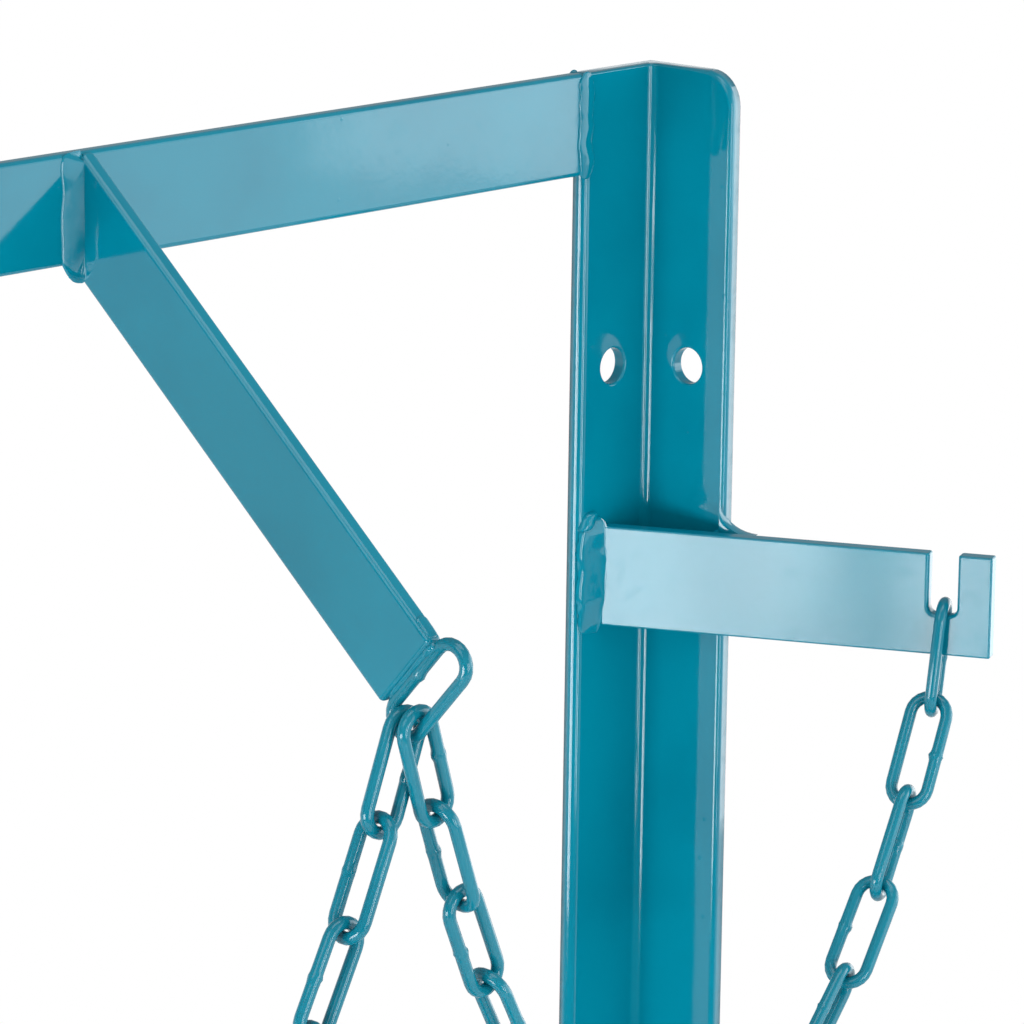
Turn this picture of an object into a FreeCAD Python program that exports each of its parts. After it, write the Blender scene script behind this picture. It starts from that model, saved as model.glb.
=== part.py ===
import FreeCAD, Part
import math
import os

# Gas cylinder stand for two cylinders, a welded steel frame with two chains.
# Frame of reference: +Z up, +X to the stand's right as seen from the front, the front faces -Y.
# The origin is on the floor, at the middle of the base plate.

# Whole stand
stand_width = 555.0
stand_height = 1000.0

# Base plate
plate_depth = 320.0
plate_thickness = 5.0
plate_margin = 10.0
plate_corner_radius = 8.0

# Posts, hot-rolled equal angle
angle_leg = 40.0
angle_thickness = 5.0
root_radius = 3.0
toe_radius = 3.0
root_steps = 4
toe_steps = 4
post_corner_radius = 12.0
hole_radius = 6.25
hole_from_corner = 23.0
hole_below_top = 103.0

# Flat bars, with the small round that rolling leaves along each edge
bar_edge_radius = 0.9
edge_steps = 2
crossbar_height = 35.0
crossbar_thickness = 6.0
side_arm_height = 35.0
side_arm_thickness = 6.0
middle_arm_height = 30.0
middle_arm_thickness = 6.0

# Side arms
side_arm_below_top = 158.0
side_arm_angle = 66.5
side_arm_reach = 97.5
side_arm_toe_gap = 3.6
notch_width = 10.0
notch_depth = 21.0
notch_from_tip = 11.9
notch_corner_radius = 2.5
notch_lip = 1.3

# Middle arm
middle_arm_slope = 41.5
middle_arm_length = 196.0

# Chain of welded long links; the eye on the middle arm is one more of these links
wire_diameter = 4.2
link_inner_length = 33.4
link_inner_width = 8.4
links_per_chain = 15
link_gap = 0.55
seat_gap = 0.9
wire_flats = 8
bow_steps = 6

# Where the links hang
eye_above_arm_centre = 1.2
right_link_up_eye = 4.6
left_link_from_bow = 0.2
left_link_to_arm = 1.4
left_link_off_eye_plane = 1.6
right_first_link_turn = 0.0
left_first_link_turn = 5.0
first_link_slope = 68.0
hook_lean_inward = 5.5
hook_lean_back = 4.0
hook_turn = 4.0

# Welds
bead_width = 8.0
bead_height = 1.5
crossbar_fillet_leg = 10.0
middle_arm_fillet_leg = 4.0
side_flange_fillet_leg = 6.0
rear_flange_fillet_leg = 8.0
side_arm_fillet_leg = 2.5
side_arm_weld_overrun = 4.0
side_arm_top_fillet_leg = 9.5
foot_fillet_leg = 4.0

# Values that follow from the sizes above
wire_radius = wire_diameter / 2
bow_radius = (link_inner_width + wire_diameter) / 2
bow_centre_reach = (link_inner_length - link_inner_width) / 2
bow_wire_reach = link_inner_length / 2 + wire_radius
bow_slack = link_inner_width / 2 - wire_radius - link_gap
post_face_x = stand_width / 2
post_rear_y = plate_depth / 2 - plate_margin
flange_face_y = post_rear_y - angle_thickness
toe_y = post_rear_y - angle_leg
crossbar_face_y = post_rear_y - (angle_thickness + crossbar_thickness) / 2
side_arm_top_z = stand_height - side_arm_below_top
side_arm_bottom_z = side_arm_top_z - side_arm_height

up = FreeCAD.Vector(0, 0, 1)
sideways = FreeCAD.Vector(1, 0, 0)

# The side arm runs forwards and outwards; its front face looks towards the middle of the stand
turn = math.radians(side_arm_angle)
side_arm_run = FreeCAD.Vector(math.cos(turn), -math.sin(turn), 0)
side_arm_face = FreeCAD.Vector(-math.sin(turn), -math.cos(turn), 0)
side_arm_back_point = (
    FreeCAD.Vector(post_face_x - angle_thickness, toe_y, 0) + side_arm_face * side_arm_toe_gap
)

# The middle arm runs forwards and down from the top edge of the crossbar
fall = math.radians(middle_arm_slope)
middle_arm_run = FreeCAD.Vector(0, -math.cos(fall), -math.sin(fall))
middle_arm_up = FreeCAD.Vector(0, -math.sin(fall), math.cos(fall))
middle_arm_start = FreeCAD.Vector(0, crossbar_face_y, stand_height)


def frame_at(point, x_axis, y_axis, z_axis):
    """Placement whose local axes point along the given directions; the Z axis is kept exactly."""
    return FreeCAD.Placement(point, FreeCAD.Rotation(x_axis, y_axis, z_axis, "ZXY"))


def placed(shape, placement):
    moved = shape.copy()
    moved.transformShape(placement.toMatrix(), True)
    return moved


def prism(points, height):
    """Upright prism on a flat outline."""
    outline = Part.makePolygon([FreeCAD.Vector(*point) for point in points + points[:1]])
    return Part.Face(outline).extrude(up * height)


def mirrored(shape):
    """The same piece on the left of the stand."""
    return shape.mirror(FreeCAD.Vector(0, 0, 0), sideways)


def arc_points(centre_x, centre_y, radius, start, end, steps):
    """Points along an arc, angles in degrees."""
    points = []
    for step in range(steps + 1):
        angle = math.radians(start + (end - start) * step / steps)
        points.append((centre_x + radius * math.cos(angle), centre_y + radius * math.sin(angle)))
    return points


def flat_bar(length, thickness, height):
    """Flat bar along X, its front face on Y = 0 and its lower edge on Z = 0."""
    near = bar_edge_radius
    points = []
    for centre_y, centre_z, start in (
        (thickness - near, height - near, 0),
        (near, height - near, 90),
        (near, near, 180),
        (thickness - near, near, 270),
    ):
        points += arc_points(centre_y, centre_z, near, start, start + 90, edge_steps)
    corners = [FreeCAD.Vector(0, y, z) for y, z in points + points[:1]]
    return Part.Face(Part.makePolygon(corners)).extrude(FreeCAD.Vector(length, 0, 0))


def base_plate():
    width = stand_width + 2 * plate_margin
    plate = Part.makeBox(
        width, plate_depth, plate_thickness, FreeCAD.Vector(-width / 2, -plate_depth / 2, 0)
    )
    corners = [e for e in plate.Edges if abs(e.tangentAt(0).z) > 0.99]
    return plate.makeFillet(plate_corner_radius, corners)


def angle_outline():
    """Right-hand angle seen from above: rear flange to the left, side flange to the front."""
    right = post_face_x
    rear = post_rear_y
    inner_x = right - angle_thickness
    inner_y = rear - angle_thickness
    left = right - angle_leg
    toe = toe_radius
    root = root_radius
    points = [(left, rear), (right, rear), (right, toe_y)]
    points += arc_points(inner_x + toe, toe_y + toe, toe, 270, 180, toe_steps)
    points += arc_points(inner_x - root, inner_y - root, root, 0, 90, root_steps)
    points += arc_points(left + toe, inner_y + toe, toe, 270, 180, toe_steps)
    return [(x, y, plate_thickness) for x, y in points]


def right_post():
    post = prism(angle_outline(), stand_height - plate_thickness)
    hole_z = stand_height - hole_below_top
    rear_hole = Part.makeCylinder(
        hole_radius,
        3 * angle_thickness,
        FreeCAD.Vector(post_face_x - hole_from_corner, post_rear_y + angle_thickness, hole_z),
        FreeCAD.Vector(0, -1, 0),
    )
    side_hole = Part.makeCylinder(
        hole_radius,
        3 * angle_thickness,
        FreeCAD.Vector(post_face_x + angle_thickness, post_rear_y - hole_from_corner, hole_z),
        FreeCAD.Vector(-1, 0, 0),
    )
    corner = Part.makeBox(
        3 * angle_thickness,
        post_corner_radius,
        post_corner_radius,
        FreeCAD.Vector(
            post_face_x - 2 * angle_thickness, toe_y, stand_height - post_corner_radius
        ),
    )
    round_end = Part.makeCylinder(
        post_corner_radius,
        3 * angle_thickness,
        FreeCAD.Vector(
            post_face_x - 2 * angle_thickness,
            toe_y + post_corner_radius,
            stand_height - post_corner_radius,
        ),
        sideways,
    )
    return post.cut([rear_hole, side_hole, corner.cut(round_end)])


def crossbar():
    length = stand_width - 2 * angle_leg
    bar = flat_bar(length, crossbar_thickness, crossbar_height)
    bar.translate(
        FreeCAD.Vector(-length / 2, crossbar_face_y, stand_height - crossbar_height)
    )
    return bar


def middle_arm():
    """Flat bar on edge, cut to the face of the crossbar and square at its lower end."""
    spare = middle_arm_height
    bar = flat_bar(middle_arm_length + spare, middle_arm_thickness, middle_arm_height)
    bar.translate(FreeCAD.Vector(-spare, -middle_arm_thickness / 2, -middle_arm_height))
    arm = placed(
        bar, frame_at(middle_arm_start, middle_arm_run, FreeCAD.Vector(1, 0, 0), middle_arm_up)
    )
    behind = Part.makeBox(
        4 * middle_arm_thickness,
        4 * middle_arm_height,
        6 * middle_arm_height,
        FreeCAD.Vector(
            -2 * middle_arm_thickness, crossbar_face_y, stand_height - 3 * middle_arm_height
        ),
    )
    return arm.cut(behind)


def notch_slot(length, grown, near_y, far_y):
    """Slot with rounded bottom corners, grown on its sides and bottom, between two depths."""
    slot = Part.makeBox(
        notch_width + 2 * grown,
        far_y - near_y,
        2 * notch_depth,
        FreeCAD.Vector(
            length - notch_from_tip - notch_width - grown,
            near_y,
            side_arm_height - notch_depth - grown,
        ),
    )
    bottom = [
        e
        for e in slot.Edges
        if abs(e.tangentAt(0).y) > 0.99 and e.CenterOfMass.z < side_arm_height
    ]
    return slot.makeFillet(notch_corner_radius + grown, bottom)


def notch(length):
    """Slot through the bar from its upper edge, opened out by a bevelled lip at both faces."""
    outside = side_arm_thickness
    slot = notch_slot(length, 0, -outside, 2 * outside)
    for inner_y, outer_y in (
        (notch_lip, -outside),
        (side_arm_thickness - notch_lip, 2 * outside),
    ):
        flare = notch_slot(length, notch_lip, min(inner_y, outer_y), max(inner_y, outer_y))
        inner = [e for e in flare.Edges if abs(e.CenterOfMass.y - inner_y) < 0.001]
        slot = slot.fuse(flare.makeChamfer(notch_lip, inner))
    return slot


def right_side_arm():
    """Notched flat bar on edge, mitred to the inside of the post's rear flange."""
    spare = 2 * angle_leg
    length = side_arm_reach + spare
    bar = flat_bar(length, side_arm_thickness, side_arm_height).cut(notch(length))
    bar.translate(FreeCAD.Vector(-spare, -side_arm_thickness, 0))
    arm = placed(
        bar,
        frame_at(
            side_arm_back_point + up * side_arm_bottom_z,
            side_arm_run,
            FreeCAD.Vector(-side_arm_face.x, -side_arm_face.y, 0),
            up,
        ),
    )
    behind = Part.makeBox(
        4 * angle_leg,
        2 * angle_leg,
        2 * side_arm_height,
        FreeCAD.Vector(
            post_face_x - 3 * angle_leg, flange_face_y, side_arm_bottom_z - side_arm_height / 2
        ),
    )
    return arm.cut(behind)


def chain_link():
    """Welded link lying in the XZ plane, long along Z, swept from a wire with flats."""
    # The flats enclose the same area as the round wire
    flat_angle = 2 * math.pi / wire_flats
    corner = wire_radius * math.sqrt(flat_angle / math.sin(flat_angle))
    rings = []
    for end in (1, -1):
        for step in range(bow_steps + 1):
            around = math.pi * step / bow_steps
            out = FreeCAD.Vector(end * math.cos(around), 0, end * math.sin(around))
            centre = FreeCAD.Vector(0, 0, end * bow_centre_reach)
            ring = []
            for side in range(wire_flats):
                angle = flat_angle * (side + 0.5)
                reach = bow_radius + corner * math.cos(angle)
                ring.append(centre + out * reach + FreeCAD.Vector(0, corner * math.sin(angle), 0))
            rings.append(ring)
    faces = []
    for ring, following in zip(rings, rings[1:] + rings[:1]):
        for side in range(wire_flats):
            other = (side + 1) % wire_flats
            corners = [ring[side], ring[other], following[other], following[side], ring[side]]
            faces.append(Part.Face(Part.makePolygon(corners)))
    link = Part.makeSolid(Part.makeShell(faces))
    if link.Volume < 0:
        link.reverse()
    return link


def eye_centre():
    """Middle of the eye, a link whose one side lies along the square end of the middle arm."""
    end = middle_arm_start + middle_arm_run * middle_arm_length
    out = bow_radius + flat_reach()
    return (
        end
        - middle_arm_up * (middle_arm_height / 2 - eye_above_arm_centre)
        + middle_arm_run * out
    )


def flat_reach():
    """Distance from the middle of the wire to one of its flats."""
    flat_angle = 2 * math.pi / wire_flats
    corner = wire_radius * math.sqrt(flat_angle / math.sin(flat_angle))
    return corner * math.cos(flat_angle / 2)


def arm_eye(link):
    return placed(
        link, frame_at(eye_centre(), middle_arm_run, FreeCAD.Vector(1, 0, 0), middle_arm_up)
    )


def seats_in_eye():
    """Wire centres of the two top bows that hang in the eye, side by side at its lower end."""
    bow_centre = eye_centre() - middle_arm_up * bow_centre_reach
    slope = math.radians(first_link_slope)
    pull = FreeCAD.Vector(math.cos(slope), 0, -math.sin(slope))
    apart = wire_diameter + seat_gap
    arm_side = (
        bow_centre
        + middle_arm_up * left_link_from_bow
        - middle_arm_run * left_link_to_arm
        - sideways * left_link_off_eye_plane
    )
    across = pull - middle_arm_up * pull.dot(middle_arm_up)
    strand = bow_centre + middle_arm_run * bow_radius + middle_arm_up * right_link_up_eye
    front_side = strand - across.normalize() * apart
    return arm_side, front_side


def hook_axis():
    """Direction from the upper to the lower bow of the right-hand hook link."""
    inward = side_arm_face * math.tan(math.radians(hook_lean_inward))
    back = side_arm_run * -math.tan(math.radians(hook_lean_back))
    return (inward + back - up).normalize()


def hook_bow():
    """Wire centre of the right-hand hook link's upper bow, resting in the notch."""
    lean = math.tan(math.radians(hook_lean_inward))
    web = side_arm_height - notch_depth
    half = side_arm_thickness / 2 + lean * web / 2
    round_end = link_inner_width / 2
    dip = round_end - math.sqrt(round_end**2 - (half - notch_lip) ** 2)
    rest = dip + link_gap + wire_radius
    along = side_arm_reach - notch_from_tip - notch_width / 2
    return (
        side_arm_back_point
        + side_arm_run * along
        + side_arm_face * (side_arm_thickness / 2 - lean * (web / 2 + rest))
        + up * (side_arm_top_z - notch_depth + rest)
    )


def hanging_slopes(reaches, last_slope, span, rise):
    """Slopes of links that hang freely: the tangent grows by one equal step from link to link."""

    def totals(step, lowest):
        slopes = [math.atan((index - lowest) * step) for index in range(len(reaches))]
        joints = [(a + b) / 2 for a, b in zip(slopes, slopes[1:] + [last_slope])]
        across = sum(reach * math.cos(slope) for reach, slope in zip(reaches, slopes))
        climb = sum(reach * math.sin(slope) for reach, slope in zip(reaches, slopes))
        across += sum(bow_slack * math.cos(joint) for joint in joints)
        climb += sum(bow_slack * math.sin(joint) for joint in joints)
        return across, climb, slopes, joints

    def balanced(step):
        low = -len(reaches)
        high = 2 * len(reaches)
        for _ in range(60):
            middle = (low + high) / 2
            if totals(step, middle)[1] > rise:
                low = middle
            else:
                high = middle
        return (low + high) / 2

    shallow = 0.0001
    steep = 50.0
    for _ in range(60):
        step = (shallow + steep) / 2
        if totals(step, balanced(step))[0] > span:
            shallow = step
        else:
            steep = step
    return totals(step, balanced(step))[2:]


def chain_places(seat, first_link_turn):
    """Centre, direction and width direction of each link, from the eye to the right-hand notch."""
    hook_direction = hook_axis()
    hook_centre = hook_bow() + hook_direction * bow_wire_reach
    end = hook_centre + hook_direction * bow_centre_reach
    flat = FreeCAD.Vector(end.x - seat.x, end.y - seat.y, 0)
    heading = FreeCAD.Vector(flat).normalize()
    # Odd links stand in the plane of the chain and meet at their bow centres,
    # even links stand across it and meet at their wire centres
    halves = [bow_wire_reach if index % 2 else bow_centre_reach for index in range(links_per_chain)]
    reaches = [2 * half for half in halves[:-1]]
    reaches[0] = bow_wire_reach + bow_centre_reach
    hook_slope = math.asin(-hook_direction.z)
    slopes, joints = hanging_slopes(reaches, hook_slope, flat.Length, end.z - seat.z)
    # The chain twists evenly from the way the first link lies in the eye to the arm at the notch
    side = up.cross(heading)
    start = math.radians(first_link_turn) - math.atan2(heading.y, heading.x)
    finish = math.atan2(side_arm_face.dot(side), -side_arm_face.dot(heading))
    places = []
    point = seat
    for index, (reach, slope, joint) in enumerate(zip(reaches, slopes, joints)):
        direction = heading * math.cos(slope) + up * math.sin(slope)
        centre = point + direction * (reach - halves[index])
        roll = index * math.pi / 2 + start + (finish - start) * index / (links_per_chain - 1)
        upright = direction.cross(side)
        places.append((centre, direction, upright * math.cos(roll) + side * math.sin(roll)))
        lean = heading * math.cos(joint) + up * math.sin(joint)
        point = point + direction * reach + lean * bow_slack
    turned = FreeCAD.Rotation(up, hook_turn).multVec(side_arm_face)
    places.append((hook_centre, hook_direction * -1, turned))
    return places


def hung(link, place):
    centre, direction, width = place
    across = width - direction * width.dot(direction)
    return placed(link, frame_at(centre, across, direction.cross(across), direction))


def swing_line(seat, places):
    """Ends of the line about which the right-hand chain swings: its two last contacts."""
    first_direction = places[0][1]
    hook_centre, hook_direction, _ = places[-1]
    return (
        seat + first_direction * (wire_radius + seat_gap / 2),
        hook_centre - hook_direction * (link_inner_length / 2 - link_gap / 2),
    )


def crossbar_welds(post, bar):
    """A low bead down the front and the back of each butt joint between crossbar and post."""
    joint_x = post_face_x - angle_leg
    low_z = stand_height - crossbar_height
    welds = []
    for surface_y, outward in (
        (crossbar_face_y, -1),
        (crossbar_face_y + crossbar_thickness, 1),
    ):
        section = [
            (-bead_width / 2, 0),
            (-bead_width / 4, bead_height * 0.75),
            (0, bead_height),
            (bead_width / 4, bead_height * 0.75),
            (bead_width / 2, 0),
            (0, -toe_radius / 2),
        ]
        outline = [(joint_x + x, surface_y + outward * y, low_z) for x, y in section]
        bead = prism(outline, crossbar_height).cut([post, bar])
        welds.append(max(bead.Solids, key=lambda solid: solid.Volume))
    return welds + [mirrored(weld) for weld in welds]


def middle_arm_welds(arm, bar):
    """Fillets in the two upright corners between the middle arm and the crossbar."""
    side = middle_arm_thickness / 2
    face = crossbar_face_y
    low = stand_height - crossbar_height
    outline = [
        (side, face, low),
        (side + crossbar_fillet_leg, face, low),
        (side + crossbar_fillet_leg / 2, face - middle_arm_fillet_leg * 0.75, low),
        (side, face - middle_arm_fillet_leg, low),
    ]
    weld = prism(outline, crossbar_height - bar_edge_radius).cut([arm, bar])
    weld = max(weld.Solids, key=lambda solid: solid.Volume)
    return [weld, mirrored(weld)]


def side_arm_welds(post, arm):
    """A bead at the arm's root, a filled joint at the side flange's toe and a fillet above it."""
    low = side_arm_bottom_z - side_arm_weld_overrun
    tall = side_arm_height + 2 * side_arm_weld_overrun
    front_point = side_arm_back_point + side_arm_face * side_arm_thickness
    reach = (flange_face_y - front_point.y) / side_arm_run.y
    root = front_point + side_arm_run * reach
    along = root + side_arm_run * side_arm_fillet_leg
    bead = prism(
        [
            (root.x, root.y, low),
            (root.x - rear_flange_fillet_leg, root.y, low),
            (along.x, along.y, low),
        ],
        tall,
    ).cut([post, arm])
    toe_x = post_face_x - angle_thickness / 2
    far = side_arm_back_point + side_arm_run * side_flange_fillet_leg
    near = side_arm_back_point - side_arm_run * side_flange_fillet_leg
    inner_x = post_face_x - angle_thickness
    filler = prism(
        [
            (toe_x, toe_y, side_arm_bottom_z),
            (far.x, far.y, side_arm_bottom_z),
            (near.x, near.y, side_arm_bottom_z),
            (inner_x, toe_y + toe_radius, side_arm_bottom_z),
            (toe_x, toe_y + toe_radius, side_arm_bottom_z),
        ],
        side_arm_height,
    ).cut([post, arm])
    leg = side_arm_top_fillet_leg
    foot = side_arm_back_point + side_arm_face * (side_arm_thickness / 2) + up * side_arm_top_z
    behind = foot - side_arm_run * toe_radius
    corners = [behind, foot + side_arm_run * leg, foot + up * leg, behind + up * leg, behind]
    slope = Part.Face(Part.makePolygon(corners))
    fillet = slope.extrude(side_arm_face * -side_arm_thickness).cut([post, arm])
    shapes = (bead, filler, fillet)
    welds = [max(shape.Solids, key=lambda solid: solid.Volume) for shape in shapes]
    return welds + [mirrored(weld) for weld in welds]


def eye_weld(arm, eye):
    """Weld metal that beds one side of the eye on the square end of the middle arm."""
    end = middle_arm_start + middle_arm_run * middle_arm_length
    run = middle_arm_height - 4 * bar_edge_radius
    block = Part.makeBox(wire_radius, middle_arm_thickness, run)
    block.translate(FreeCAD.Vector(0, -middle_arm_thickness / 2, -run / 2))
    centre = end - middle_arm_up * (middle_arm_height / 2)
    bed = placed(block, frame_at(centre, middle_arm_run, FreeCAD.Vector(1, 0, 0), middle_arm_up))
    return bed.cut([arm, eye]).Solids


def foot_welds(post):
    """Fillets along the two outer faces and the two inner faces of each post's foot."""
    leg = foot_fillet_leg
    low = plate_thickness
    section = [(0, 0), (leg, 0), (0, leg)]

    def run_along(start, direction, outward, length):
        face = Part.Face(
            Part.makePolygon(
                [
                    start + outward * x + up * z
                    for x, z in section + section[:1]
                ]
            )
        )
        return face.extrude(direction * length)

    corner = FreeCAD.Vector(post_face_x, post_rear_y, low)
    left = FreeCAD.Vector(-1, 0, 0)
    right = FreeCAD.Vector(1, 0, 0)
    front = FreeCAD.Vector(0, -1, 0)
    rear = FreeCAD.Vector(0, 1, 0)
    inner = FreeCAD.Vector(post_face_x - angle_thickness, flange_face_y, low)
    flat = angle_leg - angle_thickness - root_radius - toe_radius
    runs = [
        run_along(corner, left, rear, angle_leg),
        run_along(corner, front, right, angle_leg),
        run_along(inner + left * root_radius, left, front, flat),
        run_along(inner + front * root_radius, front, left, flat),
    ]
    welds = [run.cut(post) for run in runs]
    return welds + [mirrored(weld) for weld in welds]


def write(name, shape):
    shape.exportStep("parts/" + name + ".step")


def build():
    os.makedirs("parts", exist_ok=True)
    post = right_post()
    bar = crossbar()
    arm = middle_arm()
    side_arm = right_side_arm()
    link = chain_link()
    eye = arm_eye(link)
    write("base_plate", base_plate())
    write("right_post", post)
    write("left_post", mirrored(post))
    write("crossbar", bar)
    write("middle_arm", arm)
    write("arm_eye", eye)
    write("right_side_arm", side_arm)
    write("left_side_arm", mirrored(side_arm))
    write("crossbar_welds", Part.makeCompound(crossbar_welds(post, bar)))
    write("middle_arm_welds", Part.makeCompound(middle_arm_welds(arm, bar)))
    write("side_arm_welds", Part.makeCompound(side_arm_welds(post, side_arm)))
    write("eye_weld", Part.makeCompound(eye_weld(arm, eye)))
    write("foot_welds", Part.makeCompound(foot_welds(post)))
    left_seat, right_seat = seats_in_eye()
    for side, seat, turned in (
        ("right", right_seat, right_first_link_turn),
        ("left", left_seat, left_first_link_turn),
    ):
        places = chain_places(seat, turned)
        for index, place in enumerate(places):
            piece = hung(link, place)
            if side == "left":
                piece = mirrored(piece)
            if index == links_per_chain - 1:
                write(side + "_hook_link", piece)
            else:
                write(side + "_chain_link_%02d" % (index + 1), piece)
        ends = swing_line(seat, places)
        print(side, "swing line", [tuple(round(value, 3) for value in end) for end in ends])


build()
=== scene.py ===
import math

import bmesh
import bpy
import numpy as np
from mathutils import Matrix, Vector, noise


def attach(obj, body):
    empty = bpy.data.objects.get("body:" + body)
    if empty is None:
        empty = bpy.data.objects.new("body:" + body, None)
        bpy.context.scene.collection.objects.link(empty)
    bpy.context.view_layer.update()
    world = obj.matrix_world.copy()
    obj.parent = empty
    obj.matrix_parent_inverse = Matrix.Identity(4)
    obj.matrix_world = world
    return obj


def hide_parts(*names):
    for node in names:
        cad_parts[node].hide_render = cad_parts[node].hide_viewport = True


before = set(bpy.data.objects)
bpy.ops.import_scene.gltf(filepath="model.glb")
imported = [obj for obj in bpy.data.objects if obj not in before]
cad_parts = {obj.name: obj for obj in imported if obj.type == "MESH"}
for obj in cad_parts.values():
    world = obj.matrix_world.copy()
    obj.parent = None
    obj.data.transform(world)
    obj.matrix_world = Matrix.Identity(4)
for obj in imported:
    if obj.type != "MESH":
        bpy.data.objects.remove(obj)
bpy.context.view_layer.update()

mm = 0.001

# Camera. It looks down a little on the upper half of the stand, from its front left, with a long
# lens, and stands where the photograph was taken from.
camera_azimuth = math.radians(49.03)
camera_pitch = math.radians(12.58)
camera_roll = math.radians(0.83)
camera_place = Vector((-1280.1, -1142.6, 1292.1)) * mm
camera_lens = 209.08
camera_sensor = 36

looking = Vector(
    (
        math.sin(camera_azimuth) * math.cos(camera_pitch),
        math.cos(camera_azimuth) * math.cos(camera_pitch),
        -math.sin(camera_pitch),
    )
)
level = Vector((math.cos(camera_azimuth), -math.sin(camera_azimuth), 0))
level_up = level.cross(looking)
image_right = level * math.cos(camera_roll) + level_up * math.sin(camera_roll)
image_up = level_up * math.cos(camera_roll) - level * math.sin(camera_roll)
camera = bpy.data.objects.new("camera", bpy.data.cameras.new("camera"))
bpy.context.scene.collection.objects.link(camera)
camera.data.sensor_width = camera_sensor
camera.data.lens = camera_lens
camera.matrix_world = (
    Matrix.Translation(camera_place)
    @ Matrix((image_right, image_up, -looking)).transposed().to_4x4()
)
bpy.context.scene.camera = camera
bpy.context.scene.view_settings.view_transform = "Standard"

# Studio. The stand is in front of a white sweep, with the darker end of the room behind the camera.
# Softboxes stand at its left, right and front right and overhead, and light its faces. Two upright
# strips in front of it draw the bright lines down its roots and edges.
sweep_direction = (0.755, 0.656, 0)
room_level = 0.37
dark_end_level = 0.1
above_level = 0.35
cool = (0.87, 0.96, 1.0)

world = bpy.data.worlds.new("white_room")
bpy.context.scene.world = world
world.use_nodes = True
world.node_tree.nodes.clear()
room = world.node_tree
room_light = room.nodes.new("ShaderNodeBackground")
room_light.inputs["Color"].default_value = (1, 1, 1, 1)
room_light.inputs["Strength"].default_value = room_level
room_white = room.nodes.new("ShaderNodeBackground")
room_white.inputs["Color"].default_value = (1, 1, 1, 1)
facing = room.nodes.new("ShaderNodeTexCoord")
sweep_side = room.nodes.new("ShaderNodeVectorMath")
sweep_side.operation = "DOT_PRODUCT"
sweep_side.inputs[1].default_value = sweep_direction
sweep = room.nodes.new("ShaderNodeMapRange")
sweep.interpolation_type = "SMOOTHSTEP"
sweep.inputs["From Min"].default_value = -0.55
sweep.inputs["From Max"].default_value = -0.15
sweep.inputs["To Min"].default_value = dark_end_level
sweep.inputs["To Max"].default_value = 1.0
height = room.nodes.new("ShaderNodeSeparateXYZ")
above = room.nodes.new("ShaderNodeMapRange")
above.interpolation_type = "SMOOTHSTEP"
above.inputs["From Min"].default_value = 0.0
above.inputs["From Max"].default_value = 0.15
mirrored_room = room.nodes.new("ShaderNodeMix")
mirrored_room.data_type = "FLOAT"
mirrored_room.inputs["B"].default_value = above_level
room.links.new(facing.outputs["Generated"], sweep_side.inputs[0])
room.links.new(sweep_side.outputs["Value"], sweep.inputs["Value"])
room.links.new(facing.outputs["Generated"], height.inputs[0])
room.links.new(height.outputs["Z"], above.inputs["Value"])
room.links.new(above.outputs["Result"], mirrored_room.inputs["Factor"])
room.links.new(sweep.outputs["Result"], mirrored_room.inputs["A"])
ray = room.nodes.new("ShaderNodeLightPath")
brightness = room.nodes.new("ShaderNodeMix")
brightness.data_type = "FLOAT"
brightness.inputs["B"].default_value = 1
room.links.new(ray.outputs["Is Camera Ray"], brightness.inputs["Factor"])
room.links.new(mirrored_room.outputs["Result"], brightness.inputs["A"])
room.links.new(brightness.outputs["Result"], room_white.inputs["Strength"])
seen_or_mirrored = room.nodes.new("ShaderNodeMath")
seen_or_mirrored.operation = "ADD"
seen_at_all = room.nodes.new("ShaderNodeMath")
seen_at_all.operation = "ADD"
seen_at_all.use_clamp = True
room.links.new(ray.outputs["Is Camera Ray"], seen_or_mirrored.inputs[0])
room.links.new(ray.outputs["Is Glossy Ray"], seen_or_mirrored.inputs[1])
room.links.new(seen_or_mirrored.outputs[0], seen_at_all.inputs[0])
room.links.new(ray.outputs["Is Transmission Ray"], seen_at_all.inputs[1])
room_mix = room.nodes.new("ShaderNodeMixShader")
room_out = room.nodes.new("ShaderNodeOutputWorld")
room.links.new(seen_at_all.outputs[0], room_mix.inputs["Fac"])
room.links.new(room_light.outputs[0], room_mix.inputs[1])
room.links.new(room_white.outputs[0], room_mix.inputs[2])
room.links.new(room_mix.outputs[0], room_out.inputs["Surface"])


def softbox(name, place, aim, width, height, radiance, colour=(1, 1, 1)):
    """A softbox on its stand, seen only in what mirrors it."""
    lamp = bpy.data.lights.new(name, "AREA")
    lamp.shape = "RECTANGLE"
    lamp.color = colour
    lamp.size = width
    lamp.size_y = height
    lamp.energy = radiance * math.pi * width * height
    box = bpy.data.objects.new(name, lamp)
    box.location = place
    box.rotation_euler = (Vector(aim) - Vector(place)).to_track_quat("-Z", "Y").to_euler()
    box.visible_camera = False
    bpy.context.scene.collection.objects.link(box)


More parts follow.
